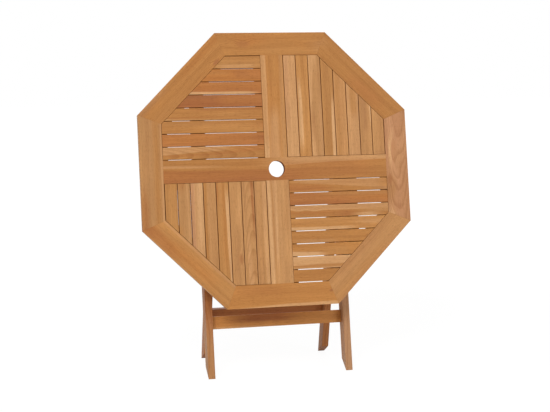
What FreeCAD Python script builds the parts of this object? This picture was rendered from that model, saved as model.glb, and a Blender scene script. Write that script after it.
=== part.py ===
import FreeCAD, Part
import math
import os

# Folding octagonal slatted umbrella table with its top tipped up and its legs nearly closed.
# Millimetres, +Z up, the good face of the top looks towards -Y.
os.makedirs("parts", exist_ok=True)
doc = FreeCAD.newDocument("umbrella_table")
V = FreeCAD.Vector

# Driving sizes: alias, value, meaning.
SIZES = [
    ("top_width", 1200.0, "octagonal top across the flats"),
    ("board_width", 100.0, "rim boards and bars"),
    ("top_thickness", 25.0, "rim and bars; slats are thinner by the ledge height"),
    ("lip_height", 8.0, "height of the ledges that the slats lie on"),
    ("rim_lip", 27.0, "ledge width along the rim boards"),
    ("bar_lip", 27.0, "ledge width along the bars"),
    ("slat_gap", 3.0, "gap beside every slat"),
    ("slat_count", 8.0, "slats in one quarter of the top"),
    ("joint_line", 1.2, "open joint at a slat end"),
    ("side_play", 0.5, "play beside a ledge"),
    ("hole_radius", 36.0, "parasol hole"),
    ("top_lean", 12.49, "lean of the raised top from upright, degrees"),
    ("leg_width", 60.0, "legs, in the folding plane"),
    ("leg_thickness", 30.0, "legs, across the table"),
    ("outer_frame_width", 652.0, "front pair of legs, over all"),
    ("frame_gap", 3.5, "between a front leg and the rear leg inside it"),
    ("outer_lean", 13.0, "front pair, backward lean, degrees"),
    ("inner_lean", 11.74, "rear pair, forward lean, degrees"),
    ("open_lean", 41.5, "rear pair when the table stands open, degrees"),
    ("outer_below_pivot", 689.008, "pivot to front foot tip along the leg"),
    ("inner_above_pivot", 256.5, "pivot to the slot pin of a rear leg"),
    ("outer_end_radius", 16.0, "rounded bearing end"),
    ("inner_end_radius", 13.5, "rounded end round the slot pin"),
    ("end_taper", 70.0, "length of the taper to a leg end"),
    ("pivot_radius", 5.0, "pivot bolt"),
    ("running_play", 0.06, "radial play of bolts and pins that turn"),
    ("face_play", 0.3, "play between turning faces"),
    ("bolt_head_radius", 11.0, "domed bolt head and washers"),
    ("bolt_head_rim", 1.5, "edge of the domed head"),
    ("bolt_head_dome", 3.0, "dome of the head"),
    ("bolt_crown_radius", 6.0, "flat on the dome"),
    ("bolt_tip", 3.0, "bolt beyond its nut"),
    ("washer_height", 2.0, "washer under the nut"),
    ("nut_height", 8.0, "pivot nut"),
    ("nut_radius", 9.8, "pivot nut, to a corner"),
    ("rail_thickness", 22.0, "stretchers and the upper rail"),
    ("stretcher_height", 56.0, "stretchers, along the leg"),
    ("outer_stretcher_drop", 447.0, "pivot down to the front stretcher"),
    ("inner_stretcher_drop", 461.0, "pivot down to the rear stretcher"),
    ("upper_rail_height", 40.0, "upper rail, along the leg"),
    ("upper_rail_rise", 141.0, "pivot up to the upper rail"),
    ("tenon_length", 18.0, "tenons of the cross pieces"),
    ("tenon_thickness", 12.0, "tenons of the cross pieces"),
    ("tenon_margin", 8.0, "shoulder above and below a tenon"),
    ("tenon_play", 0.15, "play round a tenon"),
    ("bearing_lap", 20.0, "how far a front leg bears on its batten"),
    ("bearing_play", 0.5, "play between a front leg's end and its batten or stop"),
    ("batten_width", 60.0, "battens under the top"),
    ("batten_depth", 30.0, "battens under the top"),
    ("batten_bite", 59.0, "batten end beyond the slats, over the rim"),
    ("batten_chamfer", 14.0, "bevel at a batten's ends"),
    ("slot_front", 167.5, "pin centre towards the lower rim when open"),
    ("slot_back", 23.0, "pin centre towards the upper rim when raised"),
    ("slot_centre_depth", 40.0, "pin centre below the face"),
    ("slot_cut", 25.0, "slot depth into the batten"),
    ("slot_play", 0.3, "play of a bush in its slot"),
    ("pin_radius", 5.0, "slot pin"),
    ("bush_radius", 7.0, "slot bush, outside"),
    ("bush_length", 20.0, "slot bush"),
    ("bush_inset", 1.5, "slot bush from the inner side of its batten"),
    ("pin_tip", 1.0, "slot pin beyond its bush"),
    ("pin_head_radius", 9.0, "slot pin"),
    ("pin_head_height", 4.0, "slot pin"),
    ("stop_length", 32.0, "stop block along the batten"),
    ("stop_width", 40.0, "stop block across the batten"),
    ("stop_height", 20.0, "stop block below the batten"),
    ("stop_bevel", 12.0, "bevel of a stop block"),
    ("screw_radius", 2.5, "shank of a wood screw"),
    ("screw_head_radius", 5.0, "head of a wood screw"),
    ("screw_head_height", 3.0, "head of a wood screw"),
    ("screw_bite", 13.0, "screw length in the top"),
    ("screw_play", 0.04, "play round a shank"),
]
sheet = doc.addObject("Spreadsheet::Sheet", "sizes")
size = {}
for row, (alias, value, meaning) in enumerate(SIZES, start=1):
    sheet.set("A%d" % row, meaning)
    sheet.set("B%d" % row, str(value))
    sheet.setAlias("B%d" % row, alias)
    size[alias] = value
doc.recompute()

half = size["top_width"] / 2
rim_inner = half - size["board_width"]
rim_ledge = rim_inner - size["rim_lip"]
bar_half = size["board_width"] / 2
bar_ledge = bar_half + size["bar_lip"]
thick = size["top_thickness"]
lip = size["lip_height"]
seat = thick - lip
count = int(size["slat_count"])
gap = size["slat_gap"]
slat = (rim_inner - bar_half - (count + 1) * gap) / count
joint = size["joint_line"]
play = size["side_play"]
root2 = math.sqrt(2)
turn = math.tan(math.radians(22.5))
leg_half = size["leg_width"] / 2
leg_thick = size["leg_thickness"]
outer_width = size["outer_frame_width"]
inner_width = outer_width - 2 * (leg_thick + size["frame_gap"])
batten_in = outer_width / 2 - size["bearing_lap"]
batten_mid = batten_in + size["batten_width"] / 2
under = thick + size["batten_depth"]
batten_end = rim_inner * root2 - batten_mid + size["batten_bite"]
screw_u = batten_in + size["batten_width"] * 2 / 3
screw_far = batten_end - size["batten_chamfer"] * 1.8
screw_v = [-screw_far, -bar_half / 2, bar_half / 2, screw_far]

# Raised pose: both foot tips on the floor, and the slot pins at the upper ends of their slots.
outer_tilt = math.radians(size["outer_lean"])
inner_tilt = math.radians(size["inner_lean"])
lean = math.radians(size["top_lean"])
outer_below = size["outer_below_pivot"]
pivot_z = outer_below * math.cos(outer_tilt) - leg_half * math.sin(outer_tilt)
inner_below = (pivot_z + leg_half * math.sin(inner_tilt)) / math.cos(inner_tilt)
rise = size["inner_above_pivot"]
back = size["slot_back"]
depth = size["slot_centre_depth"]
centre_y = -rise * math.sin(inner_tilt) - back * math.sin(lean) - depth * math.cos(lean)
centre_z = rise * math.cos(inner_tilt) - back * math.cos(lean) + depth * math.sin(lean)
front_edge = centre_y - half * math.sin(lean)
rear_edge = leg_half * math.cos(inner_tilt) + inner_below * math.sin(inner_tilt)
pivot_y = -(front_edge + rear_edge) / 2

# Open pose: feet flat on one floor, the front legs' ends bearing on the battens.
open_inner = math.radians(size["open_lean"])
foot_rise = size["leg_width"] * math.tan(open_inner)
open_height = inner_below * math.cos(open_inner) - leg_half * math.sin(open_inner)
reach = math.hypot(outer_below, leg_half)
open_outer = math.acos(open_height / reach) - math.atan(leg_half / outer_below)
end_depth = under + size["outer_end_radius"] + size["bearing_play"]
outer_above = (rise * math.cos(open_inner) + depth - end_depth) / math.cos(open_outer)
end_v = rise * math.sin(open_inner) + outer_above * math.sin(open_outer) - size["slot_front"]
stop_near = end_v + size["outer_end_radius"] + size["bearing_play"] + 0.2
stop_mid = stop_near + size["stop_length"] / 2

# Poses: the top and the two leg frames each keep one local frame.
pivot = V(0, pivot_y, pivot_z)
top_pose = FreeCAD.Placement(pivot + V(0, centre_y, centre_z),
                             FreeCAD.Rotation(V(1, 0, 0), 90 - size["top_lean"]))
outer_pose = FreeCAD.Placement(pivot, FreeCAD.Rotation(V(1, 0, 0), -size["outer_lean"]))
inner_pose = FreeCAD.Placement(pivot, FreeCAD.Rotation(V(1, 0, 0), size["inner_lean"]))
pivot_pose = FreeCAD.Placement(pivot, FreeCAD.Rotation())

nodes = []


def clip(points, a, b, limit):
    """Keep the part of a polygon where a*x + b*y <= limit."""
    kept = []
    for index, (x1, y1) in enumerate(points):
        x2, y2 = points[(index + 1) % len(points)]
        d1 = a * x1 + b * y1 - limit
        d2 = a * x2 + b * y2 - limit
        if d1 <= 1e-9:
            kept.append((x1, y1))
        if (d1 < -1e-9 and d2 > 1e-9) or (d1 > 1e-9 and d2 < -1e-9):
            s = d1 / (d1 - d2)
            kept.append((x1 + s * (x2 - x1), y1 + s * (y2 - y1)))
    return kept


def rect(x1, y1, x2, y2):
    return [(x1, y1), (x2, y1), (x2, y2), (x1, y2)]


def start_body(name, pose):
    body = doc.addObject("PartDesign::Body", name)
    body.Label = name
    body.Placement = pose
    nodes.append(body)
    return body


def add_sketch(body, name, role, offset, loops):
    """A sketch on one origin plane; a loop is a polygon, or (x, y, radius) for a circle."""
    sketch = body.newObject("Sketcher::SketchObject", name)
    for feature in body.Origin.OriginFeatures:
        if feature.Role == role:
            sketch.AttachmentSupport = [(feature, "")]
    sketch.MapMode = "FlatFace"
    sketch.AttachmentOffset = FreeCAD.Placement(V(0, 0, offset), FreeCAD.Rotation())
    normal = V(0, 0, 1)
    for loop in loops:
        if len(loop) == 3 and not isinstance(loop[0], tuple):
            sketch.addGeometry(Part.Circle(V(loop[0], loop[1], 0), normal, loop[2]), False)
            continue
        for index, (x1, y1) in enumerate(loop):
            x2, y2 = loop[(index + 1) % len(loop)]
            sketch.addGeometry(Part.LineSegment(V(x1, y1, 0), V(x2, y2, 0)), False)
    return sketch


def add_pad(body, name, role, offset, loops, length, backward=False):
    """A pad; the length is a number or an expression on the sheet."""
    sketch = add_sketch(body, name + "_sketch", role, offset, loops)
    pad = body.newObject("PartDesign::Pad", name)
    pad.Profile = (sketch, [""])
    pad.Reversed = backward
    if isinstance(length, str):
        pad.setExpression("Length", length)
    else:
        pad.Length = length
    return pad


def add_pocket(body, name, role, offset, loops, length, forward=False):
    """A pocket; it cuts against the plane normal, or along it when forward."""
    sketch = add_sketch(body, name + "_sketch", role, offset, loops)
    pocket = body.newObject("PartDesign::Pocket", name)
    pocket.Profile = (sketch, [""])
    pocket.Reversed = forward
    if isinstance(length, str):
        pocket.setExpression("Length", length)
    else:
        pocket.Length = length
    return pocket


def top_piece(name, face, base):
    """A piece of the top: full outline down to the ledges, ledge outline below them."""
    body = start_body(name, top_pose)
    add_pad(body, name + "_face", "XY_Plane", 0, [face], "sizes.top_thickness - sizes.lip_height",
            backward=True)
    add_pad(body, name + "_base", "XY_Plane", -seat, [base], "sizes.lip_height", backward=True)
    return body


# Rim: eight mitred boards with a ledge on their inner edge.
rim_names = ["rim_top", "rim_upper_right", "rim_right", "rim_lower_right",
             "rim_bottom", "rim_lower_left", "rim_left", "rim_upper_left"]
rim_screws = {"rim_upper_right": (1, 1), "rim_lower_right": (1, -1),
              "rim_lower_left": (-1, -1), "rim_upper_left": (-1, 1)}
for step, name in enumerate(rim_names):
    angle = -math.radians(45 * step)

    def spin(points):
        c = math.cos(angle)
        s = math.sin(angle)
        return [(x * c - y * s, x * s + y * c) for x, y in points]

    face = spin([(-half * turn, half), (half * turn, half),
                 (rim_inner * turn, rim_inner), (-rim_inner * turn, rim_inner)])
    base = spin([(-half * turn, half), (half * turn, half),
                 (rim_ledge * turn, rim_ledge), (-rim_ledge * turn, rim_ledge)])
    if name == "rim_bottom":
        # No ledge beside the last lower right slat, which runs along this board.
        base = [(-half * turn, -half), (half * turn, -half), (rim_inner * turn, -rim_inner),
                (bar_half, -rim_inner), (bar_half, -rim_ledge), (-rim_ledge * turn, -rim_ledge)]
    board = top_piece(name, face, base)
    if name in rim_screws:
        su, sv = rim_screws[name]
        hole = (su * screw_u, sv * screw_v[3], size["screw_radius"] + size["screw_play"])
        add_pocket(board, name + "_screw", "XY_Plane", -thick, [hole], "sizes.screw_bite + 0.2",
                   forward=True)

# Bars: one across the whole top with the parasol hole, one above it and one below it.
cross_face = rect(-rim_inner, -bar_half, rim_inner, bar_half)
edge = rim_ledge - play
cross_base = [(-edge, -bar_ledge), (-bar_half, -bar_ledge), (-bar_half, -bar_half),
              (edge, -bar_half), (edge, bar_ledge), (bar_half, bar_ledge),
              (bar_half, bar_half), (-edge, bar_half)]
cross_bar = top_piece("cross_bar", cross_face, cross_base)
add_pocket(cross_bar, "parasol_hole", "XY_Plane", 0, [(0, 0, size["hole_radius"])],
           "sizes.top_thickness")
cross_holes = []
for su in (-1, 1):
    for sv in screw_v[1:3]:
        cross_holes.append((su * screw_u, sv, size["screw_radius"] + size["screw_play"]))
add_pocket(cross_bar, "cross_bar_screws", "XY_Plane", -thick, cross_holes,
           "sizes.screw_bite + 0.2", forward=True)
for name, side in (("upper_bar", 1), ("lower_bar", -1)):
    face = rect(-bar_half, bar_half, bar_half, rim_inner)
    base = [(-bar_half, bar_half), (bar_half, bar_half), (bar_half, edge), (-bar_ledge, edge),
            (-bar_ledge, bar_half + play), (-bar_half, bar_half + play)]
    if name == "lower_bar":
        # Its ledge runs on to the rim, where the rim has none.
        base[3:4] = [(-bar_half - play, edge), (-bar_half - play, rim_inner),
                     (-bar_ledge, rim_inner)]
        face = [(-x, -y) for x, y in face]
        base = [(-x, -y) for x, y in base]
    top_piece(name, face, base)

# Slats: x runs along the slat from its bar, y counts the slats from the other bar.
quarters = {
    "upper_left": lambda x, y: (-x, y),
    "upper_right": lambda x, y: (y, x),
    "lower_left": lambda x, y: (-y, -x),
    "lower_right": lambda x, y: (x, -y),
}
for quarter, place in quarters.items():
    for number in range(count):
        low = bar_half + gap + number * (slat + gap)
        strip = rect(bar_half + joint, low, rim_inner - joint, low + slat)
        outline = clip(strip, 1, 1, (rim_inner - joint) * root2)
        name = "slat_%s_%d" % (quarter, number + 1)
        add_pad(start_body(name, top_pose), name + "_board", "XY_Plane", 0,
                [[place(x, y) for x, y in outline]],
                "sizes.top_thickness - sizes.lip_height", backward=True)

# Battens under the top, each with a slot that is open to the middle of the table.
end = batten_end
bevel = size["batten_chamfer"]
profile = [(-end, -thick), (-end, -under + bevel), (-end + bevel, -under),
           (end - bevel, -under), (end, -under + bevel), (end, -thick)]
slot_half = size["bush_radius"] + size["slot_play"]
slot_z = -size["slot_centre_depth"]
slot = []
for index in range(13):
    a = math.radians(-90 + 15 * index)
    slot.append((size["slot_back"] + slot_half * math.cos(a), slot_z + slot_half * math.sin(a)))
for index in range(13):
    a = math.radians(90 + 15 * index)
    slot.append((-size["slot_front"] + slot_half * math.cos(a), slot_z + slot_half * math.sin(a)))
for name, side in (("batten_left", -1), ("batten_right", 1)):
    body = start_body(name, top_pose)
    start = batten_in if side > 0 else -batten_in
    add_pad(body, name + "_bar", "YZ_Plane", start, [profile], "sizes.batten_width",
            backward=side < 0)
    add_pocket(body, name + "_slot", "YZ_Plane", start, [slot], "sizes.slot_cut",
               forward=side > 0)
    shank = size["screw_radius"] + size["screw_play"]
    holes = [(side * screw_u, v, shank) for v in screw_v]
    add_pocket(body, name + "_holes", "XY_Plane", -thick, holes, "sizes.batten_depth")
    stop_hole = (side * (batten_in + size["stop_width"] / 2), stop_mid, shank)
    add_pocket(body, name + "_stop_hole", "XY_Plane", -under, [stop_hole],
               "sizes.screw_bite + 0.2", forward=True)

# Stop blocks behind the bearing ends of the front legs.
for name, side in (("stop_left", -1), ("stop_right", 1)):
    body = start_body(name, top_pose)
    near = stop_near
    far = near + size["stop_length"]
    cut = size["stop_bevel"]
    low = -under - size["stop_height"]
    outline = [(near, -under), (far, -under), (far, low + cut), (far - cut, low), (near, low)]
    start = batten_in if side > 0 else -batten_in
    add_pad(body, name + "_block", "YZ_Plane", start, [outline], "sizes.stop_width",
            backward=side < 0)
    shank = size["screw_radius"] + size["screw_play"]
    hole = (side * (batten_in + size["stop_width"] / 2), stop_mid, shank)
    add_pocket(body, name + "_hole", "XY_Plane", -under, [hole], "sizes.stop_height")


def leg(name, pose, side, over_all, below, above, end_radius, tip_sign, cross):
    """One leg; y is across the leg in the folding plane and z runs up it from the pivot."""
    body = start_body(name, pose)
    outline = [(tip_sign * leg_half, -below),
               (-tip_sign * leg_half, -below + foot_rise),
               (-tip_sign * leg_half, above - size["end_taper"])]
    for index in range(13):
        a = math.radians(180 - 15 * index) if tip_sign > 0 else math.radians(15 * index)
        outline.append((end_radius * math.cos(a), above + end_radius * math.sin(a)))
    outline.append((tip_sign * leg_half, above - size["end_taper"]))
    outer_face = side * over_all / 2
    add_pad(body, name + "_stock", "YZ_Plane", outer_face, [outline], "sizes.leg_thickness",
            backward=side > 0)
    bolt = (0, 0, size["pivot_radius"] + size["running_play"])
    add_pocket(body, name + "_pivot", "YZ_Plane", outer_face, [bolt], "sizes.leg_thickness",
               forward=side < 0)
    inner_face = outer_face - side * leg_thick
    fit = size["tenon_play"]
    mortises = []
    for y1, z1, y2, z2 in cross:
        mortises.append(rect(y1 - fit, z1 - fit, y2 + fit, z2 + fit))
    add_pocket(body, name + "_mortises", "YZ_Plane", inner_face, mortises,
               "sizes.tenon_length + 0.2", forward=side > 0)
    return body


def cross_piece(name, pose, over_all, y_mid, z_mid, height):
    """A stretcher or rail between two legs, with a tenon at each end."""
    body = start_body(name, pose)
    inside = over_all / 2 - leg_thick
    deep = size["rail_thickness"] / 2
    tall = height / 2
    add_pad(body, name + "_board", "YZ_Plane", -inside,
            [rect(y_mid - deep, z_mid - tall, y_mid + deep, z_mid + tall)], 2 * inside)
    add_pad(body, name + "_tenon_left", "YZ_Plane", -inside, [tenon(y_mid, z_mid, height)],
            "sizes.tenon_length", backward=True)
    add_pad(body, name + "_tenon_right", "YZ_Plane", inside, [tenon(y_mid, z_mid, height)],
            "sizes.tenon_length")
    return body


def tenon(y_mid, z_mid, height):
    deep = size["tenon_thickness"] / 2
    tall = height / 2 - size["tenon_margin"]
    return rect(y_mid - deep, z_mid - tall, y_mid + deep, z_mid + tall)


def bounds(points):
    return (points[0][0], points[0][1], points[2][0], points[2][1])


rail_y = leg_half - size["rail_thickness"] / 2
outer_cross = [bounds(tenon(rail_y, -size["outer_stretcher_drop"], size["stretcher_height"])),
               bounds(tenon(0, size["upper_rail_rise"], size["upper_rail_height"]))]
inner_cross = [bounds(tenon(rail_y, -size["inner_stretcher_drop"], size["stretcher_height"]))]
for name, side in (("front_leg_left", -1), ("front_leg_right", 1)):
    leg(name, outer_pose, side, outer_width, outer_below, outer_above,
        size["outer_end_radius"], -1, outer_cross)
for name, side in (("rear_leg_left", -1), ("rear_leg_right", 1)):
    body = leg(name, inner_pose, side, inner_width, inner_below, rise,
               size["inner_end_radius"], 1, inner_cross)
    pin_hole = (0, rise, size["pin_radius"])
    outer_face = side * inner_width / 2
    add_pocket(body, name + "_pin_hole", "YZ_Plane", outer_face, [pin_hole],
               "sizes.leg_thickness", forward=side < 0)
cross_piece("front_stretcher", outer_pose, outer_width, rail_y,
            -size["outer_stretcher_drop"], size["stretcher_height"])
cross_piece("front_upper_rail", outer_pose, outer_width, 0,
            size["upper_rail_rise"], size["upper_rail_height"])
cross_piece("rear_stretcher", inner_pose, inner_width, rail_y,
            -size["inner_stretcher_drop"], size["stretcher_height"])


def cylinder(name, base, direction, radius, height):
    item = doc.addObject("Part::Cylinder", name)
    item.Radius = radius
    item.Height = height
    item.Placement = FreeCAD.Placement(base, FreeCAD.Rotation(V(0, 0, 1), direction))
    return item


def ring(name, base, direction, radius, hole, height):
    body = cylinder(name + "_disc", base, direction, radius, height)
    bore = cylinder(name + "_bore", base, direction, hole, height)
    item = doc.addObject("Part::Cut", name)
    item.Base = body
    item.Tool = bore
    return item


def join(name, items):
    item = doc.addObject("Part::MultiFuse", name)
    item.Shapes = items
    return item


def group(name, items, pose):
    item = doc.addObject("Part::Compound", name)
    item.Links = items
    item.Label = name
    item.Placement = pose
    nodes.append(item)
    return item


# Slot pins in the rear legs and the bushes that run in the batten slots.
pins = []
bushes = []
inner_out = inner_width / 2
inner_in = inner_out - leg_thick
bush_start = batten_in + size["bush_inset"]
pin_end = bush_start + size["bush_length"] + size["pin_tip"]
for tag, side in (("left", -1), ("right", 1)):
    out = V(side, 0, 0)
    shaft = cylinder("pin_shaft_" + tag, V(side * inner_in, 0, rise), out, size["pin_radius"],
                     pin_end - inner_in)
    head = cylinder("pin_head_" + tag, V(side * (inner_in - size["pin_head_height"]), 0, rise),
                    out, size["pin_head_radius"], size["pin_head_height"])
    pins.append(join("pin_" + tag, [shaft, head]))
    bushes.append(ring("bush_" + tag, V(side * bush_start, 0, rise), out, size["bush_radius"],
                       size["pin_radius"] + size["running_play"], size["bush_length"]))
group("slot_pins", pins, inner_pose)
group("slot_bushes", bushes, inner_pose)

# Pivot bolts: domed head outside, spacer between the legs, washer and nut inside.
bolts = []
nuts = []
washers = []
outer_out = outer_width / 2
slack = size["face_play"]
washer = size["washer_height"]
nut = size["nut_height"]
disc = size["bolt_head_radius"]
spacer = size["frame_gap"] - 2 * slack
nut_start = inner_in - slack - washer - nut
bolt_start = nut_start - size["bolt_tip"]
for tag, side in (("left", -1), ("right", 1)):
    out = V(side, 0, 0)
    shank = cylinder("bolt_shank_" + tag, V(side * bolt_start, 0, 0), out,
                     size["pivot_radius"], outer_out + slack - bolt_start)
    flange = cylinder("bolt_flange_" + tag, V(side * (outer_out + slack), 0, 0), out, disc,
                      size["bolt_head_rim"])
    dome = doc.addObject("Part::Cone", "bolt_dome_" + tag)
    dome.Radius1 = disc
    dome.Radius2 = size["bolt_crown_radius"]
    dome.Height = size["bolt_head_dome"]
    dome.Placement = FreeCAD.Placement(V(side * (outer_out + slack + size["bolt_head_rim"]), 0, 0),
                                       FreeCAD.Rotation(V(0, 0, 1), out))
    bolts.append(join("bolt_" + tag, [shank, flange, dome]))
    washers.append(ring("washer_" + tag, V(side * (inner_in - slack - washer), 0, 0), out, disc,
                        size["pivot_radius"], washer))
    washers.append(ring("spacer_" + tag, V(side * (inner_out + slack), 0, 0), out, disc,
                        size["pivot_radius"], spacer))
    hexagon = doc.addObject("Part::Prism", "nut_body_" + tag)
    hexagon.Polygon = 6
    hexagon.Circumradius = size["nut_radius"]
    hexagon.Height = nut
    hexagon.Placement = FreeCAD.Placement(V(side * nut_start, 0, 0),
                                          FreeCAD.Rotation(V(0, 0, 1), out))
    thread = cylinder("nut_thread_" + tag, V(side * nut_start, 0, 0), out,
                      size["pivot_radius"], nut)
    cut = doc.addObject("Part::Cut", "nut_" + tag)
    cut.Base = hexagon
    cut.Tool = thread
    nuts.append(cut)
group("pivot_bolts", bolts, pivot_pose)
group("pivot_washers", washers, pivot_pose)
group("pivot_nuts", nuts, pivot_pose)

# Wood screws of the battens and stop blocks, driven from below.
screws = []
places = []
for side in (-1, 1):
    for v in screw_v:
        places.append((side * screw_u, v, under, size["batten_depth"] + size["screw_bite"]))
    places.append((side * (batten_in + size["stop_width"] / 2), stop_mid,
                   under + size["stop_height"], size["stop_height"] + size["screw_bite"]))
for number, (u, v, low, length) in enumerate(places, start=1):
    shank = cylinder("screw_shank_%d" % number, V(u, v, -low), V(0, 0, 1),
                     size["screw_radius"], length)
    head = cylinder("screw_head_%d" % number, V(u, v, -low - size["screw_head_height"]),
                    V(0, 0, 1), size["screw_head_radius"], size["screw_head_height"])
    screws.append(join("screw_%d" % number, [shank, head]))
group("batten_screws", screws, top_pose)

doc.recompute()

for item in doc.Objects:
    for state in item.State:
        if state in ("Invalid", "Error"):
            raise RuntimeError("%s is %s" % (item.Name, state))
box = FreeCAD.BoundBox()
for node in nodes:
    if node.Shape.isNull() or not node.Shape.isValid():
        raise RuntimeError("%s has no valid shape" % node.Label)
    box.add(node.Shape.BoundBox)
    node.Shape.exportStep("parts/%s.step" % node.Label)
print("%d nodes" % len(nodes))
print("bounds %.2f %.2f %.2f to %.2f %.2f %.2f" % (box.XMin, box.YMin, box.ZMin,
                                                   box.XMax, box.YMax, box.ZMax))
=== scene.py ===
import math

import bpy
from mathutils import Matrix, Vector

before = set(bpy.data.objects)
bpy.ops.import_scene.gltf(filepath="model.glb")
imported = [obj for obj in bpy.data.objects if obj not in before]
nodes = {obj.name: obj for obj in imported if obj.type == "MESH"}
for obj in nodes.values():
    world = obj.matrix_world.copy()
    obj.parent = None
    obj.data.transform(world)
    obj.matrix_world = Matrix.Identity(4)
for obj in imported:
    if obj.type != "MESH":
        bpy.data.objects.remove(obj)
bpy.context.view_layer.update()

# The folding geometry that the boards' grain follows.
TOP_LEAN = math.radians(12.49)
FRONT_LEG_LEAN = math.radians(13.0)
REAR_LEG_LEAN = math.radians(11.74)
RIGHT = Vector((1, 0, 0))
UP_THE_TOP = Vector((0, math.sin(TOP_LEAN), math.cos(TOP_LEAN)))
OUT_OF_FACE = Vector((0, -math.cos(TOP_LEAN), math.sin(TOP_LEAN)))
UP_FRONT_LEG = Vector((0, math.sin(FRONT_LEG_LEAN), math.cos(FRONT_LEG_LEAN)))
UP_REAR_LEG = Vector((0, -math.sin(REAR_LEG_LEAN), math.cos(REAR_LEG_LEAN)))


def colour(red, green, blue):
    """A colour given in screen values, 0 to 255, as the renderer takes it."""
    def linear(value):
        value /= 255
        return value / 12.92 if value <= 0.04045 else ((value + 0.055) / 1.055) ** 2.4
    return (linear(red), linear(green), linear(blue), 1.0)


# Sanded teak: heartwood from pale to dark, the sapwood, and the stain round a knot.
# The umber and smoke tones also serve as painted shade on the front left leg and the
# stretchers.
TEAK = {
    "honey": colour(190, 134, 78),
    "golden": colour(184, 126, 68),
    "amber": colour(188, 122, 61),
    "russet": colour(177, 113, 60),
    "umber": colour(165, 101, 54),
    "tan": colour(192, 140, 91),
    "rose": colour(193, 139, 102),
    "clay": colour(178, 126, 82),
    "sand": colour(184, 139, 106),
    "straw": colour(204, 153, 107),
    "sapwood": colour(216, 168, 124),
    "smoke": colour(140, 88, 56),
}

# What the parts of the grain multiply a board's colour by, and what makes up for it, with
# the painted shade laid in the gaps of the top.
BAND_SHADE = (0.82, 0.75, 0.68, 1)
RING_SHADE = (0.76, 0.66, 0.56, 1)
FIBRE_SHADE = (0.86, 0.80, 0.74, 1)
PORE_SHADE = (0.45, 0.36, 0.28, 1)
END_SHADE = (0.70, 0.63, 0.56, 1)
# Painted shade for the sides and ledges that show in the gaps of the top.
PAINTED_GAP_SHADE = (0.45, 0.22, 0.08, 1)
PATCH_GLOW = (1.10, 1.11, 1.12, 1)
GRAIN_LOSS = (1.18, 1.20, 1.07)

# The grain's scale, per metre, and its feel.
FIBRES = 620
PORES = 1500
TEAK_ROUGHNESS = 0.50
TEAK_GLOSS = 0.32
TEAK_RELIEF = 0.00035

# A streak's span along its board, from 0 to 1, when it runs over all of it; and how far
# on each side of its end it fades.
WHOLE_BOARD = (-0.1, 1.1)
FADE = 0.12

# How far a knot reaches across the grain for what it reaches along it, and how far it
# pushes the rings aside, in its own sizes.
KNOT_STRETCH = 0.45
KNOT_PUSH = 0.8

# Depths below the good face between which painted shade darkens the wood in the gaps.
GAP_FROM = 0.0008
GAP_FULL = 0.0030

# Widths of the rounded edges.
RIM_EDGE = 0.0006
BAR_EDGE = 0.0008
SLAT_EDGE = 0.0007
FRAME_EDGE = 0.0020


class Value:
    """A node's output; sums on it add Math nodes."""

    def __init__(self, finish, socket):
        self.finish = finish
        self.socket = socket

    def math(self, operation, *terms):
        return self.finish.node("ShaderNodeMath", {"operation": operation},
                                dict(enumerate(terms)))

    def __add__(self, other):
        return self.math("ADD", self, other)

    __radd__ = __add__

    def __sub__(self, other):
        return self.math("SUBTRACT", self, other)

    def __rsub__(self, other):
        return self.math("SUBTRACT", other, self)

    def __mul__(self, other):
        return self.math("MULTIPLY", self, other)

    def __truediv__(self, other):
        return self.math("DIVIDE", self, other)

    def __pow__(self, other):
        return self.math("POWER", self, other)

    def __abs__(self):
        return self.math("ABSOLUTE", self)


class Finish:
    """One material, or the world. node() adds any node to it, its settings first and then
    its sockets."""

    def __init__(self, name, kind="materials"):
        self.owner = getattr(bpy.data, kind).new(name)
        self.owner.use_nodes = True
        self.tree = self.owner.node_tree
        self.tree.nodes.clear()

    def node(self, kind, settings=None, inputs=None, out=0):
        made = self.tree.nodes.new(kind)
        for name, value in (settings or {}).items():
            setattr(made, name, value)
        for key, value in (inputs or {}).items():
            if isinstance(value, Value):
                self.tree.links.new(value.socket, made.inputs[key])
            else:
                made.inputs[key].default_value = value
        return Value(self, made.outputs[out]) if made.outputs else made

    def vector(self, x, y, z):
        return self.node("ShaderNodeCombineXYZ", None, {0: x, 1: y, 2: z})

    def dot(self, vector, direction):
        return self.node("ShaderNodeVectorMath", {"operation": "DOT_PRODUCT"},
                         {0: vector, 1: direction}, out="Value")

    def mix(self, share, first, second, way="MIX"):
        """One colour laid over another, by a share from 0 to 1."""
        return self.node("ShaderNodeMix", {"data_type": "RGBA", "blend_type": way},
                         {0: share, 6: first, 7: second}, out=2)

    def noise(self, place, detail=2.0, rough=0.5):
        return self.node("ShaderNodeTexNoise", None,
                         {"Vector": place, "Scale": 1.0, "Detail": detail,
                          "Roughness": rough})

    def step(self, value, low, high):
        """0 below low and 1 above high, with a soft slope between them."""
        return self.node("ShaderNodeMapRange", {"interpolation_type": "SMOOTHSTEP"},
                         {"Value": value, "From Min": low, "From Max": high})

    def bump(self, height, strength, depth):
        return self.node("ShaderNodeBump", None,
                         {"Height": height, "Strength": strength, "Distance": depth})

    def surface(self, **sockets):
        shader = self.node("ShaderNodeBsdfPrincipled", None,
                           {name.replace("_", " "): value
                            for name, value in sockets.items()})
        self.node("ShaderNodeOutputMaterial", None, {"Surface": shader})
        return self.owner


class Board:
    """Where a board lies: along its grain, across it and through it. Its size is that of
    its good face, so a ledge on its back doesn't count."""

    def __init__(self, name, along, across, good_face=None):
        self.name = name
        self.axes = [along, across, along.cross(across)]
        self.has_good_face = good_face is not None
        points = [vertex.co for vertex in nodes[name].data.vertices]
        if self.has_good_face:
            front = max(point.dot(good_face) for point in points)
            points = [point for point in points if front - point.dot(good_face) < 0.001]
        spans = [[point.dot(axis) for point in points] for axis in self.axes]
        self.middle = [(max(span) + min(span)) / 2 for span in spans]
        self.half = [(max(span) - min(span)) / 2 for span in spans]


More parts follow.
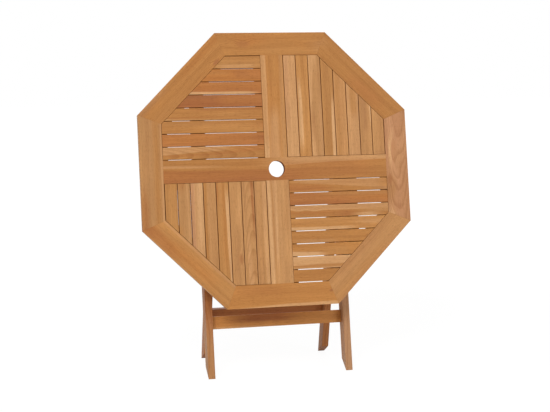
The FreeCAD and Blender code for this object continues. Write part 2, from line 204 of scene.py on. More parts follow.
class Cut:
    """How a board was sawn: where the tree's heart lies from it, in metres, and how its
    grain leans, wanders and is spaced."""

    def __init__(self, heart_across, heart_below, lean, wander, bands, ring):
        self.heart_across = heart_across
        self.heart_below = heart_below
        self.lean = lean
        self.wander = wander
        self.bands = bands
        self.ring = ring


STRAIGHT = Cut(0.34, 0.06, 0.0, 0.010, 55, 0.0031)
SLANTED = Cut(0.15, 0.13, 0.01, 0.014, 60, 0.0036)
ARCHED = Cut(0.012, 0.075, 0.055, 0.020, 75, 0.0042)


class Streak:
    """A streak along a board. Places and half widths are at its start and its end, where
    the board is 1 wide on each side of its middle line and 1 long. The edge is how far its
    sides blur, and the bow how far its middle swings across the board."""

    def __init__(self, tone, places, widths, edge=0.16, strength=0.8, bow=0.0,
                 span=WHOLE_BOARD):
        self.tone = tone
        self.places = places
        self.widths = widths
        self.edge = edge
        self.strength = strength
        self.bow = bow
        self.span = span

    def share(self, finish, length, width):
        """How much of the streak shows at a spot of its board, from 0 to 1."""
        line = length * (self.places[1] - self.places[0]) + self.places[0]
        if self.bow:
            line = line + length * (1 - length) * (4 * self.bow)
        half = length * (self.widths[1] - self.widths[0]) + self.widths[0]
        inside = 1 - finish.step(abs(width - line) - half, -self.edge, self.edge)
        if self.span != WHOLE_BOARD:
            first, last = self.span
            inside = (inside * finish.step(length, first - FADE, first + FADE)
                      * (1 - finish.step(length, last - FADE, last + FADE)))
        return inside * self.strength


class Knot:
    """A knot that the rings bend round, with its size in metres. Its place along the board
    and across it is given as a streak's is. Without a core it is only a swirl."""

    def __init__(self, place, across, size, core=0.7, tone="smoke"):
        self.place = place
        self.across = across
        self.size = size
        self.core = core
        self.tone = tone

    def nearness(self, finish, board, along, across):
        """1 at the knot's middle, falling to 0 round it."""
        off_along = along - (self.place * 2 - 1) * board.half[0]
        off_across = across - self.across * board.half[1]
        far = (((off_along * KNOT_STRETCH) ** 2.0 + off_across ** 2.0)
               / (self.size * self.size))
        return finish.node("ShaderNodeMath", {"operation": "EXPONENT"}, {0: far * -1.0})


def before_grain(tone, shade):
    """A teak colour as it has to be before its grain darkens it."""
    return tuple(channel * loss * shade
                 for channel, loss in zip(TEAK[tone], GRAIN_LOSS)) + (1,)


def growth_rings(finish, cut, seed, along, across, depth):
    """The broad bands of the rings round the tree's heart, and their dark late wood."""
    heart_side = 1 if seed % 2 else -1
    heart_depth = cut.heart_below + 0.004 * (seed % 5)
    ring_width = cut.ring * (0.9 + 0.06 * (seed % 4))
    from_heart_across = across - heart_side * cut.heart_across
    from_heart_depth = depth + heart_depth + along * cut.lean
    radius = (from_heart_across * from_heart_across
              + from_heart_depth * from_heart_depth) ** 0.5
    bands = finish.noise(finish.vector(radius * cut.bands, along * 0.9, seed * 1.9),
                         2.0, 0.55)
    turn = finish.node("ShaderNodeMath", {"operation": "FRACT"},
                       {0: radius / ring_width + bands * 2.5})
    return bands, finish.step(turn, 0.35, 0.9) - finish.step(turn, 0.92, 1.0)


def painted_gap_shade_share(finish, board, across, depth, facing):
    """1 on the sides and ledges that show in the gaps of the top, where shade is painted; 0
    on its good face, its back and its outer edge."""
    inside = (finish.step(abs(depth), GAP_FROM, GAP_FULL)
              * finish.step(finish.dot(facing, OUT_OF_FACE), -0.70, -0.35))
    if board.name in RIM:
        outer_edge = board.half[1] - 0.002
        inside = inside * (1 - finish.step(across, outer_edge - 0.002, outer_edge))
    return inside


def teak(board, tint, shade, cut, seed, marks=()):
    """Sanded teak for one board: growth rings round the tree's heart, broad bands that
    follow them, fibres and open pores along the grain, darker end grain, and the marks
    that this board has."""
    finish = Finish("teak_" + board.name)
    place = finish.node("ShaderNodeTexCoord", out="Object")
    facing = finish.node("ShaderNodeTexCoord", out="Normal")
    along, across, depth = [finish.dot(place, axis) - middle
                            for axis, middle in zip(board.axes, board.middle)]

    # The grain wanders, and bends round the knots.
    slow = finish.noise(finish.vector(along * 1.7 + seed * 3.7, across * 6, depth * 6))
    bent = across + (slow - 0.5) * (2 * cut.wander)
    knots = [(mark, mark.nearness(finish, board, along, across))
             for mark in marks if isinstance(mark, Knot)]
    for knot, near in knots:
        bent = bent + near * (knot.size * KNOT_PUSH)
    bands, late_wood = growth_rings(finish, cut, seed, along, bent, depth)
    fibre = finish.noise(finish.vector(along * 9, across * FIBRES, depth * FIBRES),
                         3.0, 0.6)
    dots = finish.noise(finish.vector(along * 48 + seed, across * PORES, depth * PORES),
                        1.0)
    pores = finish.step(dots, 0.60, 0.70)
    end_grain = finish.step(abs(finish.dot(facing, board.axes[0])), 0.35, 0.8)
    roughness = TEAK_ROUGHNESS + late_wood * 0.06 + pores * 0.15 + end_grain * 0.15

    # The board's own colour and its streaks, then the grain over them.
    length = along / (2 * board.half[0]) + 0.5
    width = bent / board.half[1]
    base = before_grain(tint, shade)
    for mark in marks:
        if isinstance(mark, Streak):
            share = mark.share(finish, length, width) * (0.75 + fibre * 0.5)
            base = finish.mix(share, base, before_grain(mark.tone, 1.0))
    patches = finish.noise(finish.vector(along * 4 + seed * 5.1, across * 14, depth * 14))
    base = finish.mix(finish.step(patches, 0.50, 0.72), base, PATCH_GLOW, "MULTIPLY")
    base = finish.mix(finish.step(bands, 0.34, 0.66) * 0.62, base, BAND_SHADE, "MULTIPLY")
    base = finish.mix(late_wood * 0.55, base, RING_SHADE, "MULTIPLY")
    base = finish.mix(finish.step(fibre, 0.35, 0.7), base, FIBRE_SHADE, "MULTIPLY")
    base = finish.mix(pores * 0.7, base, PORE_SHADE, "MULTIPLY")
    for knot, near in knots:
        if knot.core:
            heart = finish.step(near, 0.45, 0.95) * knot.core
            base = finish.mix(heart, base, TEAK[knot.tone])

    # End grain, painted shade on the insides of the gaps, and edges that hands have rubbed
    # pale.
    base = finish.mix(end_grain * 0.8, base, END_SHADE, "MULTIPLY")
    if board.has_good_face:
        # Painted shade: the sides and ledges in the gaps are darkened where shade falls
        # between the boards.
        painted_gap_share = painted_gap_shade_share(finish, board, across, depth, facing)
        base = finish.mix(painted_gap_share, base, PAINTED_GAP_SHADE, "MULTIPLY")
        roughness = roughness + painted_gap_share * 0.4
    rubbed = finish.step(abs(across), board.half[1] - 0.004, board.half[1])
    base = finish.mix(rubbed * 0.5, base, PATCH_GLOW, "MULTIPLY")

    height = fibre * 0.5 - pores * 0.9 - late_wood * 0.35 + end_grain * dots * 0.6
    return finish.surface(
        Base_Color=base,
        Roughness=roughness,
        Specular_IOR_Level=TEAK_GLOSS,
        Normal=finish.bump(height, 0.45, TEAK_RELIEF),
    )


def steel(name, tone, rough):
    """Plain stainless hardware: fine turning marks, and duller spots."""
    finish = Finish(name)
    place = finish.node("ShaderNodeTexCoord", out="Object")
    x, y, z = [finish.dot(place, axis) for axis in ((1, 0, 0), (0, 1, 0), (0, 0, 1))]
    turned = finish.noise(finish.vector(x * 5200, y * 300, z * 300), 2.0)
    dull = finish.noise(finish.vector(x * 160, y * 160, z * 160), 3.0)
    spots = finish.step(dull, 0.48, 0.7)
    return finish.surface(
        Base_Color=finish.mix(spots * 0.45, tone, tuple(c * 0.62 for c in tone[:3]) + (1,)),
        Metallic=1.0,
        Roughness=rough + turned * 0.12 + spots * 0.14,
        Normal=finish.bump(turned, 0.3, 0.00005),
    )


def moulded_plastic(name):
    """The dark bushes that run in the slots: matt, with a light scuff where they rub."""
    finish = Finish(name)
    place = finish.node("ShaderNodeTexCoord", out="Object")
    grain = finish.noise(finish.node("ShaderNodeVectorMath", {"operation": "SCALE"},
                                     {0: place, "Scale": 900.0}), 2.0)
    scuff = finish.step(grain, 0.55, 0.75)
    return finish.surface(
        Base_Color=finish.mix(scuff, colour(44, 43, 42), colour(86, 84, 80)),
        Roughness=0.46 + scuff * 0.2,
        Normal=finish.bump(grain, 0.25, 0.0001),
    )


def ease_edges(part, width):
    """Sands a CAD part's edges: its faces are joined up again and its edges rounded."""
    weld = part.modifiers.new("weld", "WELD")
    weld.merge_threshold = 0.00002
    flat = part.modifiers.new("flat", "DECIMATE")
    flat.decimate_type = "DISSOLVE"
    flat.angle_limit = math.radians(0.5)
    bevel = part.modifiers.new("eased", "BEVEL")
    bevel.width = width
    bevel.segments = 2
    bevel.limit_method = "ANGLE"
    bevel.angle_limit = math.radians(32)
    bevel.use_clamp_overlap = True
    bevel.miter_outer = "MITER_ARC"
    normals = part.modifiers.new("normals", "WEIGHTED_NORMAL")
    normals.keep_sharp = False


# Round the rim from the top board, clockwise: tint, shade, cut and marks.
RIM = {
    "rim_top": ("golden", 1.0, SLANTED, [
        Streak("amber", (0.55, 0.35), (0.40, 0.30), 0.3, 0.6, span=(0.20, 0.45)),
        Knot(0.25, 0.0, 0.022, 0.40, "umber"),
        Streak("tan", (0.2, -0.3), (0.30, 0.50), 0.25, 0.7, span=(0.90, 1.1)),
        Streak("honey", (-0.5, -0.5), (0.30, 0.30), 0.3, 0.5, span=(0.40, 0.80))]),
    "rim_upper_right": ("golden", 0.95, STRAIGHT, [
        Streak("russet", (-0.5, -0.2), (0.45, 0.50), 0.4, 0.6, span=(0.45, 0.80)),
        Streak("tan", (0.2, 0.2), (0.40, 0.20), 0.3, 0.6, span=(-0.1, 0.06))]),
    "rim_right": ("rose", 1.0, ARCHED, [
        Knot(0.46, 0.05, 0.030, 0.0), Knot(0.62, -0.72, 0.016, 0.55, "umber"),
        Knot(0.33, -0.2, 0.020, 0.30, "russet"), Knot(0.80, -0.4, 0.022, 0.0),
        Streak("sapwood", (-0.3, -0.2), (0.22, 0.16), 0.15, 0.75, bow=-0.1,
               span=(0.24, 0.50)),
        Streak("clay", (0.2, 0.5), (0.35, 0.25), 0.3, 0.5, span=(0.42, 0.55)),
        Streak("clay", (-0.5, -0.5), (0.50, 0.60), 0.25, 1.0, span=(0.60, 0.84)),
        Streak("sapwood", (-0.6, -0.6), (0.40, 0.40), 0.2, 0.9, span=(0.90, 1.1)),
        Streak("clay", (0.8, 0.8), (0.35, 0.35), 0.3, 0.4)]),
    "rim_lower_right": ("tan", 1.02, SLANTED, [
        Streak("clay", (-0.7, -0.7), (0.35, 0.35), 0.25, 0.7, span=(0.25, 0.80)),
        Streak("rose", (0.8, 0.8), (0.30, 0.30), 0.3, 0.6, span=(0.30, 1.1)),
        Streak("honey", (0.7, 0.6), (0.35, 0.35), 0.3, 0.7, span=(0.30, 1.1))]),
    # The bottom board's lighter shade is partly its own tone and partly painted light,
    # making up for the less light that falls on it.
    "rim_bottom": ("golden", 1.12, SLANTED, [
        Knot(0.055, -0.20, 0.009, 0.90, "umber"),
        Streak("sapwood", (1.0, 1.08), (0.26, -0.02), 0.08, 0.80),
        Streak("russet", (-0.45, -0.45), (0.35, 0.35), 0.3, 0.45, span=(0.50, 0.90)),
        Streak("russet", (-0.15, -0.10), (0.06, 0.04), 0.08, 0.4, span=(0.45, 0.62))]),
    "rim_lower_left": ("honey", 0.99, STRAIGHT, [
        Streak("straw", (-0.84, -0.84), (0.10, 0.10), 0.10, 0.8),
        Streak("russet", (0.75, 0.40), (0.20, 0.50), 0.3, 0.85, span=(0.62, 1.1)),
        Streak("umber", (0.9, 0.8), (0.30, 0.50), 0.3, 0.8, span=(0.94, 1.1)),
        Streak("amber", (0.1, 0.2), (0.50, 0.30), 0.4, 0.6, span=(0.25, 0.75)),
        Streak("umber", (-0.45, -0.55), (0.03, 0.03), 0.05, 0.4, span=(0.25, 0.55))]),
    "rim_left": ("tan", 0.90, STRAIGHT, [
        Streak("straw", (-0.88, -0.90), (0.10, 0.12), 0.08, 0.85),
        Streak("golden", (-0.45, -0.50), (0.25, 0.22), 0.25, 0.7),
        Streak("russet", (0.75, 0.60), (0.35, 0.05), 0.3, 0.65, span=(-0.1, 0.32)),
        Streak("russet", (-0.30, -0.25), (0.05, 0.04), 0.08, 0.35, span=(0.75, 1.1))]),
    "rim_upper_left": ("golden", 0.98, SLANTED, [
        Knot(0.82, -0.82, 0.013, 0.80, "umber"),
        Streak("amber", (0.5, 0.6), (0.25, 0.25), 0.3, 0.5, span=(0.55, 1.1)),
        Streak("clay", (0.8, 0.8), (0.28, 0.28), 0.25, 0.8, span=(-0.1, 0.32)),
        Streak("honey", (-0.7, -0.7), (0.35, 0.35), 0.4, 0.6, span=(-0.1, 0.40))]),
}

# The bars of the cross: the cross bar from its left end, the other two from below.
BARS = {
    "cross_bar": ("golden", 0.97, STRAIGHT, [
        Streak("russet", (-0.45, -0.55), (0.55, 0.35), 0.12, 0.9, span=(-0.1, 0.62)),
        Streak("umber", (-0.9, -0.8), (0.28, 0.1), 0.2, 0.7, span=(-0.1, 0.60)),
        Streak("umber", (-0.10, -0.25), (0.04, 0.03), 0.06, 0.5, span=(-0.1, 0.35)),
        Streak("umber", (-0.45, -0.50), (0.03, 0.03), 0.05, 0.4, span=(0.02, 0.45)),
        Streak("straw", (0.40, 0.26), (0.10, 0.03), 0.08, 0.7, span=(-0.1, 0.22)),
        Streak("umber", (0.0, 0.0), (1.30, 1.30), 0.3, 0.4, span=(0.38, 0.43)),
        Streak("straw", (0.30, 1.0), (0.42, 0.36), 0.05, 0.85, span=(0.50, 1.1)),
        Streak("russet", (-0.2, -0.1), (0.60, 0.70), 0.3, 0.55, span=(0.52, 0.95))]),
    "upper_bar": ("golden", 1.08, STRAIGHT, [
        Streak("straw", (-0.80, -0.80), (0.22, 0.24), 0.05, 0.85),
        Streak("sapwood", (-0.80, -0.80), (0.22, 0.24), 0.05, 0.80, span=(-0.1, 0.14)),
        Streak("golden", (0.1, 0.0), (0.45, 0.45), 0.3, 0.8, span=(0.70, 1.1)),
        Streak("straw", (-0.1, 0.2), (0.55, 0.20), 0.3, 0.8, span=(-0.1, 0.45)),
        Streak("tan", (0.80, 0.85), (0.20, 0.15), 0.15, 0.8),
        Streak("russet", (-0.52, -0.52), (0.02, 0.03), 0.04, 0.5)]),
    "lower_bar": ("straw", 0.97, STRAIGHT, [
        Streak("sapwood", (-0.72, -0.86), (0.10, 0.12), 0.08, 0.8),
        Streak("golden", (-0.46, -0.60), (0.06, 0.05), 0.08, 0.6),
        Streak("sapwood", (-0.30, -0.25), (0.06, 0.03), 0.06, 0.6, span=(0.25, 0.70)),
        Streak("tan", (-0.2, -0.2), (0.40, 0.20), 0.2, 0.7, span=(-0.1, 0.20)),
        Streak("golden", (-0.10, 0.00), (0.03, 0.03), 0.05, 0.5, span=(0.10, 0.9)),
        Streak("tan", (0.5, 0.5), (0.50, 0.50), 0.3, 0.8)]),
}

# The slats of each quarter, from the bar outward: level ones from their left end, upright
# ones from below.
SLATS = {
    "upper_left": [
        ("golden", 0.96, ARCHED, [
            Streak("straw", (0.50, 1.15), (0.80, 0.45), 0.10, 0.75, span=(-0.1, 0.62)),
            Streak("umber", (0.75, 0.80), (0.30, 0.30), 0.2, 0.5, span=(0.75, 1.1)),
            Streak("russet", (-0.35, 0.50), (0.08, 0.25), 0.12, 0.6, bow=-0.3)]),
        ("russet", 1.04, SLANTED, [
            Streak("amber", (0.0, 0.2), (0.60, 0.30), 0.3, 0.6, span=(0.0, 0.60)),
            Streak("umber", (0.2, 0.1), (0.30, 0.50), 0.3, 0.9, span=(0.93, 1.1))]),
        ("golden", 1.0, STRAIGHT, [
            Streak("honey", (0.6, -0.2), (0.40, 0.60), 0.4, 0.6),
            Streak("russet", (0.3, 0.1), (0.40, 0.60), 0.3, 0.5, span=(0.92, 1.1)),
            Streak("umber", (-0.1, -0.1), (0.05, 0.04), 0.08, 0.35, span=(0.7, 0.9))]),
        ("golden", 0.99, SLANTED, [
            Streak("tan", (-0.85, -0.80), (0.30, 0.05), 0.12, 0.7, span=(-0.1, 0.55)),
            Streak("russet", (-0.50, -0.55), (0.06, 0.05), 0.06, 0.7, bow=0.2),
            Streak("umber", (0.9, 0.85), (0.15, 0.30), 0.15, 0.6, span=(0.30, 1.1)),
            Streak("honey", (0.1, 0.0), (0.30, 0.40), 0.3, 0.5, span=(0.5, 0.85))]),
        ("umber", 1.02, STRAIGHT, [
            Streak("smoke", (0.75, 0.75), (0.40, 0.30), 0.3, 0.35, span=(-0.1, 0.50)),
            Streak("russet", (0.1, 0.1), (0.30, 0.80), 0.4, 0.9, span=(0.50, 1.1))]),
        ("russet", 1.02, STRAIGHT, [
            Streak("sapwood", (-1.0, -0.98), (0.44, 0.36), 0.10, 1.0, span=(-0.1, 0.90)),
            Streak("amber", (0.2, 0.2), (0.30, 0.30), 0.3, 0.5)]),
        ("amber", 0.98, SLANTED, [
            Streak("russet", (0.5, 0.2), (0.50, 0.80), 0.4, 0.9, span=(0.55, 1.1)),
            Streak("honey", (0.5, 0.2), (0.30, 0.30), 0.3, 0.4, span=(0.10, 0.45))]),
        ("honey", 0.98, SLANTED, [
            Streak("golden", (0.8, 0.6), (0.20, 0.40), 0.4, 0.5),
            Streak("straw", (-0.75, -0.75), (0.35, 0.35), 0.3, 0.6, span=(0.15, 0.85))]),
    ],
    "upper_right": [
        ("straw", 1.02, STRAIGHT, [
            Streak("rose", (-0.7, -0.7), (0.35, 0.30), 0.3, 0.5, span=(0.30, 1.1))]),
        ("honey", 1.04, SLANTED, [
            Streak("sapwood", (-0.70, -0.78), (0.44, 0.18), 0.14, 0.95, span=(0.12, 0.72)),
            Streak("golden", (0.0, 0.0), (0.30, 0.30), 0.3, 0.7, span=(-0.1, 0.10)),
            Streak("golden", (0.7, 0.2), (0.20, 0.60), 0.25, 0.6, span=(0.75, 1.1))]),
        ("tan", 0.95, SLANTED, [
            Streak("straw", (-1.0, -1.0), (0.10, 0.78), 0.10, 0.95, span=(0.46, 1.1)),
            Streak("straw", (-0.15, -0.15), (0.50, 0.55), 0.15, 0.9, span=(0.90, 1.1)),
            Streak("straw", (-0.6, -1.9), (0.45, 0.30), 0.15, 0.9, span=(-0.1, 0.22)),
            Streak("straw", (0.8, 0.8), (0.35, 0.30), 0.25, 0.5, span=(-0.1, 0.58)),
            Streak("clay", (-0.6, -0.6), (0.35, 0.35), 0.3, 0.6, span=(0.22, 0.44))]),
        ("honey", 0.925, STRAIGHT, [
            Streak("sapwood", (0.80, 0.86), (0.38, 0.26), 0.10, 0.95, span=(-0.1, 0.56))]),
        ("tan", 1.09, SLANTED, [
            Streak("honey", (-0.5, -0.4), (0.30, 0.30), 0.3, 0.6)]),
        ("straw", 1.0, STRAIGHT, [
            Streak("honey", (0.5, 0.1), (0.50, 0.60), 0.3, 0.8, span=(0.55, 1.1))]),
        ("tan", 0.96, STRAIGHT, [
            Streak("clay", (0.2, -0.2), (0.40, 0.50), 0.3, 0.7, span=(0.40, 1.1)),
            Streak("sapwood", (0.92, 0.92), (0.08, 0.16), 0.08, 0.95, span=(0.55, 1.1))]),
        ("tan", 1.02, SLANTED, [
            Streak("clay", (0.1, 0.0), (0.80, 0.30), 0.3, 0.6, span=(-0.1, 0.10))]),
    ],
    "lower_left": [
        ("tan", 1.02, STRAIGHT, [
            Streak("straw", (0.72, 0.55), (0.24, 0.34), 0.14, 0.9),
            Streak("clay", (0.0, -0.1), (0.08, 0.10), 0.1, 0.7, span=(-0.1, 0.45)),
            Streak("clay", (-0.8, -0.8), (0.20, 0.15), 0.2, 0.6)]),
        ("tan", 1.01, ARCHED, [
            Streak("straw", (0.05, -1.0), (0.40, 0.10), 0.2, 0.85, span=(-0.1, 0.45)),
            Streak("umber", (0.80, 0.60), (0.08, 0.24), 0.12, 0.75, span=(0.50, 1.1)),
            Streak("clay", (-0.7, -0.7), (0.20, 0.20), 0.2, 0.6, span=(0.50, 1.1))]),
        ("tan", 0.99, SLANTED, [
            Knot(0.25, 0.50, 0.016, 0.55, "umber"),
            Streak("clay", (0.1, 0.0), (0.30, 0.20), 0.3, 0.5, span=(0.10, 0.48)),
            Streak("straw", (0.4, 0.4), (0.30, 0.30), 0.3, 0.4, span=(0.60, 0.85))]),
        ("honey", 0.99, STRAIGHT, [
            Streak("amber", (0.1, 0.1), (0.30, 0.30), 0.3, 0.4, span=(0.2, 1.1)),
            Streak("sapwood", (0.80, 0.66), (0.16, 0.34), 0.10, 1.0, span=(-0.1, 0.86)),
            Streak("russet", (-0.9, -0.9), (0.15, 0.25), 0.15, 0.7, span=(0.80, 1.1))]),
        ("tan", 0.99, SLANTED, [
            Streak("golden", (-0.75, -0.80), (0.25, 0.25), 0.25, 1.0)]),
        ("straw", 0.98, STRAIGHT, [
            Streak("rose", (-0.85, -0.85), (0.40, 0.25), 0.2, 0.9),
            Streak("sapwood", (0.5, 0.4), (0.20, 0.60), 0.3, 0.6, span=(0.2, 1.1))]),
        ("tan", 0.93, STRAIGHT, [
            Streak("straw", (0.6, 0.5), (0.20, 0.10), 0.2, 0.5),
            Streak("golden", (-0.8, -0.8), (0.30, 0.20), 0.3, 0.7, span=(-0.1, 0.3)),
            Streak("russet", (-0.4, -0.4), (0.60, 0.60), 0.3, 0.6, span=(0.92, 1.1))]),
        ("honey", 0.97, SLANTED, [
            Streak("golden", (0.0, 0.0), (0.80, 0.80), 0.3, 0.6, span=(0.90, 1.1))]),
    ],
    "lower_right": [
        ("golden", 1.01, STRAIGHT, [
            Streak("straw", (1.45, 0.15), (0.75, 0.85), 0.12, 0.60, span=(0.08, 0.95)),
            Streak("russet", (-0.2, -0.8), (0.60, 0.30), 0.3, 0.8, span=(-0.1, 0.40)),
            Streak("clay", (-0.8, -0.8), (0.25, 0.35), 0.15, 0.8, span=(0.88, 1.1))]),
        ("russet", 0.97, SLANTED, [
            Streak("honey", (0.80, 0.75), (0.35, 0.50), 0.3, 0.6, span=(0.35, 1.1)),
            Streak("amber", (0.0, 0.0), (0.20, 0.40), 0.3, 0.5, span=(0.60, 1.1)),
            Streak("umber", (-0.75, -0.75), (0.40, 0.30), 0.3, 0.7, span=(-0.1, 0.60))]),
        ("golden", 0.97, SLANTED, [
            Knot(0.08, 0.35, 0.012, 0.0), Knot(0.24, 0.35, 0.012, 0.0),
            Streak("russet", (-0.05, -0.05), (0.30, 0.30), 0.2, 0.6, span=(-0.1, 0.45)),
            Streak("straw", (0.98, 0.98), (0.62, 0.78), 0.10, 0.85),
            Streak("umber", (-0.3, -0.3), (0.50, 0.50), 0.2, 0.8, span=(0.51, 0.63)),
            Streak("tan", (0.0, 0.0), (0.35, 0.35), 0.2, 0.8, span=(0.76, 1.1)),
            Streak("sapwood", (-0.70, -0.70), (0.34, 0.34), 0.15, 1.0, span=(0.70, 0.86))]),
        ("honey", 1.06, SLANTED, [
            Streak("golden", (-0.10, -0.55), (0.28, 0.12), 0.14, 0.7, span=(-0.1, 0.75)),
            Streak("sapwood", (-0.95, -1.02), (0.48, 0.14), 0.10, 1.0, span=(-0.1, 0.62)),
            Streak("straw", (0.0, 0.0), (0.35, 0.35), 0.3, 0.6, span=(0.72, 1.1))]),
        ("golden", 1.0, STRAIGHT, [
            Streak("tan", (-0.75, -0.75), (0.30, 0.30), 0.2, 0.8, span=(0.05, 0.50))]),
        ("golden", 1.03, STRAIGHT, [
            Streak("sapwood", (-0.92, -1.15), (0.62, 0.45), 0.15, 0.9, span=(-0.1, 0.45)),
            Streak("honey", (-0.3, -0.3), (0.60, 0.60), 0.3, 0.8, span=(0.45, 0.80))]),
        ("straw", 1.03, SLANTED, [
            Streak("sapwood", (0.7, 0.7), (0.40, 0.40), 0.3, 0.5),
            Streak("golden", (-0.72, -0.78), (0.22, 0.25), 0.08, 0.80)]),
        ("golden", 1.0, SLANTED, [
            Streak("russet", (-0.3, -0.5), (0.06, 0.05), 0.1, 0.4)]),
    ],
}

# The frame, the battens and the stop blocks: upright ones from below, level ones from
# their left end.
FRAME = [
    ("front_leg_left", UP_FRONT_LEG, "clay", 1.0, STRAIGHT, [
        Streak("golden", (0.2, 0.2), (0.50, 0.30), 0.4, 0.5, span=(-0.1, 0.10)),
        Streak("sand", (0.0, 0.0), (0.90, 0.90), 0.3, 0.35, span=(-0.1, 0.25)),
        # The umber and smoke streaks darken the leg towards its top end: painted shadow of
        # the table top over the leg.
        Streak("umber", (0.2, 0.2), (0.90, 0.90), 0.3, 0.9, span=(0.24, 1.1)),
        Streak("smoke", (0.0, 0.0), (0.90, 0.90), 0.3, 0.35, span=(0.60, 1.1))]),
    ("front_leg_right", UP_FRONT_LEG, "sand", 0.98, STRAIGHT, [
        Streak("clay", (-0.5, -0.4), (0.30, 0.20), 0.3, 0.5)]),
    # The front stretcher's lighter ends and umber middle are partly its grain and partly
    # painted light and shade: ends lit, middle in the top's shade.
    ("front_stretcher", RIGHT, "golden", 1.18, STRAIGHT, [
        Streak("umber", (0.6, 0.2), (0.50, 0.80), 0.3, 1.0, span=(0.22, 0.60)),
        Streak("straw", (-0.85, -1.1), (0.26, 0.0), 0.14, 0.8, span=(-0.1, 0.45)),
        Streak("smoke", (0.3, 0.2), (0.05, 0.06), 0.1, 0.3, span=(0.2, 0.6))]),
    ("front_upper_rail", RIGHT, "russet", 1.0, SLANTED, []),
    ("rear_leg_left", UP_REAR_LEG, "russet", 0.95, SLANTED, []),
    ("rear_leg_right", UP_REAR_LEG, "russet", 0.86, STRAIGHT, [
        Streak("sand", (0.0, 0.0), (0.90, 0.90), 0.3, 0.25)]),
    # The rear stretcher's darker shade and umber middle are partly its own tone and partly
    # painted shade under the top.
    ("rear_stretcher", RIGHT, "russet", 0.92, SLANTED, [
        Streak("umber", (0.2, 0.2), (0.50, 0.40), 0.4, 0.8, span=(0.30, 0.75))]),
    ("batten_left", UP_THE_TOP, "russet", 1.0, SLANTED, []),
    ("batten_right", UP_THE_TOP, "amber", 1.0, STRAIGHT, []),
    ("stop_left", UP_THE_TOP, "russet", 1.0, SLANTED, []),
    ("stop_right", UP_THE_TOP, "golden", 1.0, SLANTED, []),
]


def coat(name, material):
    """Gives a CAD part its only material."""
    nodes[name].data.materials.clear()
    nodes[name].data.materials.append(material)


def dress(board, tint, shade, cut, marks, seed, edge):
    """Gives a board its own teak, which differs from its neighbours' by the seed, and
    rounds its edges."""
    coat(board.name, teak(board, tint, shade, cut, seed, marks))
    ease_edges(nodes[board.name], edge)


LEVEL = (RIGHT, UP_THE_TOP, OUT_OF_FACE)
UPRIGHT = (UP_THE_TOP, RIGHT, OUT_OF_FACE)

seed = 1
for turn, (name, look) in enumerate(RIM.items()):
    angle = math.radians(45 * turn)
    outward = RIGHT * math.sin(angle) + UP_THE_TOP * math.cos(angle)
    clockwise = RIGHT * math.cos(angle) - UP_THE_TOP * math.sin(angle)
    dress(Board(name, clockwise, outward, OUT_OF_FACE), *look, seed, RIM_EDGE)
    seed += 1
for name, look in BARS.items():
    lie = LEVEL if name == "cross_bar" else UPRIGHT
    dress(Board(name, *lie), *look, seed, BAR_EDGE)
    seed += 1
for quarter, looks in SLATS.items():
    lie = LEVEL if quarter in ("upper_left", "lower_right") else UPRIGHT
    for number, look in enumerate(looks, 1):
        dress(Board("slat_%s_%d" % (quarter, number), *lie), *look, seed, SLAT_EDGE)
        seed += 1
for name, along, *look in FRAME:
    if along is RIGHT:
        across = UP_REAR_LEG if "rear" in name else UP_FRONT_LEG
    elif along is UP_THE_TOP:
        across = RIGHT
    else:
        across = RIGHT.cross(along)
    dress(Board(name, along, across), *look, seed, FRAME_EDGE)
    seed += 1

for name, finish in (
        ("pivot_bolts", steel("turned_steel", colour(205, 204, 200), 0.24)),
        ("pivot_washers", steel("washer_steel", colour(196, 195, 190), 0.30)),
        ("pivot_nuts", steel("nut_steel", colour(200, 199, 194), 0.26)),
        ("slot_pins", steel("pin_steel", colour(202, 201, 197), 0.22)),
        ("batten_screws", steel("screw_steel", colour(190, 188, 180), 0.30)),
        ("slot_bushes", moulded_plastic("bush_plastic"))):
    coat(name, finish)

# Floor, light and camera. The floor and the room are white to the eye. The floor keeps a
# share of the object's shadow near the table and none far from it, and the room lights
# the object at its own, lower level.
WHITE = (1, 1, 1, 1)
FLOOR_HALF_WIDTH = 14
FLOOR_COLOURS = ((0.90, 0.90, 0.89, 1), (0.93, 0.93, 0.93, 1))
FLOOR_GLOW = 1.05
WHITE_TO_EYE = 0.90
SHADOW_FADES_FROM, SHADOW_FADES_TO = 1.5, 4.0
ROOM_LIGHT = 0.33
LIGHTS_AIM = (0, 0, 0.8)
CAMERA_DOWN, CAMERA_TURN = math.radians(8.916), math.radians(13.564)


def seen_directly(finish):
    """1 where the camera, a reflection or clear material looks straight at it."""
    rays = [finish.node("ShaderNodeLightPath", out=name)
            for name in ("Is Camera Ray", "Is Glossy Ray", "Is Transmission Ray")]
    return rays[0].math("MAXIMUM", rays[0], rays[1].math("MAXIMUM", rays[1], rays[2]))


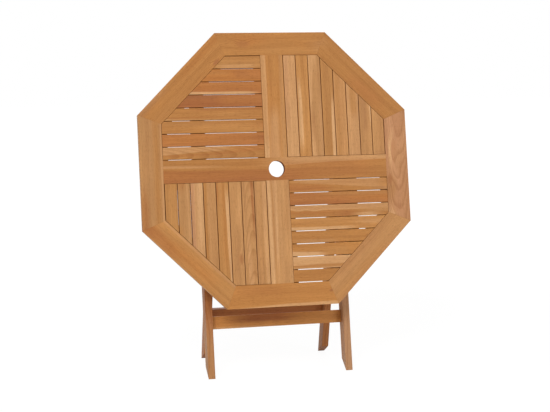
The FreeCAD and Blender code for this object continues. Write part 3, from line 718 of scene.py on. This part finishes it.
def pale_floor():
    """A matt floor, slightly mottled, under the white that the eye sees."""
    finish = Finish("pale_floor")
    place = finish.node("ShaderNodeTexCoord", out="Object")
    mottle = finish.noise(place, 3.0)
    diffuse = finish.node("ShaderNodeBsdfDiffuse", None, {
        "Color": finish.mix(mottle, *FLOOR_COLOURS)})
    white = finish.node("ShaderNodeEmission", None, {
        "Color": WHITE, "Strength": FLOOR_GLOW})
    far = finish.step(finish.node("ShaderNodeVectorMath", {"operation": "LENGTH"},
                                  {0: place}, out="Value"),
                      SHADOW_FADES_FROM, SHADOW_FADES_TO)
    both = finish.node("ShaderNodeMixShader", None, {
        0: seen_directly(finish) * (far * (1 - WHITE_TO_EYE) + WHITE_TO_EYE),
        1: diffuse, 2: white})
    finish.node("ShaderNodeOutputMaterial", None, {"Surface": both})
    return finish.owner


mesh = bpy.data.meshes.new("floor")
mesh.from_pydata([(x * FLOOR_HALF_WIDTH, y * FLOOR_HALF_WIDTH, 0)
                  for x, y in ((-1, -1), (1, -1), (1, 1), (-1, 1))], [], [(0, 1, 2, 3)])
floor = bpy.data.objects.new("floor", mesh)
bpy.context.scene.collection.objects.link(floor)
mesh.materials.append(pale_floor())

room = Finish("room", "worlds")
bpy.context.scene.world = room.owner
background = room.node("ShaderNodeBackground", None, {
    "Color": WHITE,
    "Strength": seen_directly(room) * (1 - ROOM_LIGHT) + ROOM_LIGHT})
room.node("ShaderNodeOutputWorld", None, {"Surface": background})


def soft_light(name, place, size, power):
    """A round lamp, in metres and watts, that looks at the table."""
    data = bpy.data.lights.new(name, "AREA")
    data.shape = "DISK"
    data.size = size
    data.energy = power
    light = bpy.data.objects.new(name, data)
    bpy.context.scene.collection.objects.link(light)
    light.location = place
    towards = Vector(LIGHTS_AIM) - Vector(place)
    light.rotation_euler = towards.to_track_quat("-Z", "Y").to_euler()


soft_light("key_light", (-4.5, -7.5, 8.0), 4.0, 520)
soft_light("fill_light", (6.0, -8.0, 5.0), 5.0, 230)
soft_light("rear_light", (2.5, 9.0, 6.0), 6.0, 260)

camera_data = bpy.data.cameras.new("camera")
camera = bpy.data.objects.new("camera", camera_data)
bpy.context.scene.collection.objects.link(camera)
camera_data.lens = 90.69
camera_data.sensor_width = 36.0
camera_data.clip_end = 100
camera.location = (-1.414, -5.8926, 1.678)
camera.rotation_euler = (math.pi / 2 - CAMERA_DOWN, 0, -CAMERA_TURN)
bpy.context.scene.camera = camera
bpy.context.scene.view_settings.view_transform = "Standard"
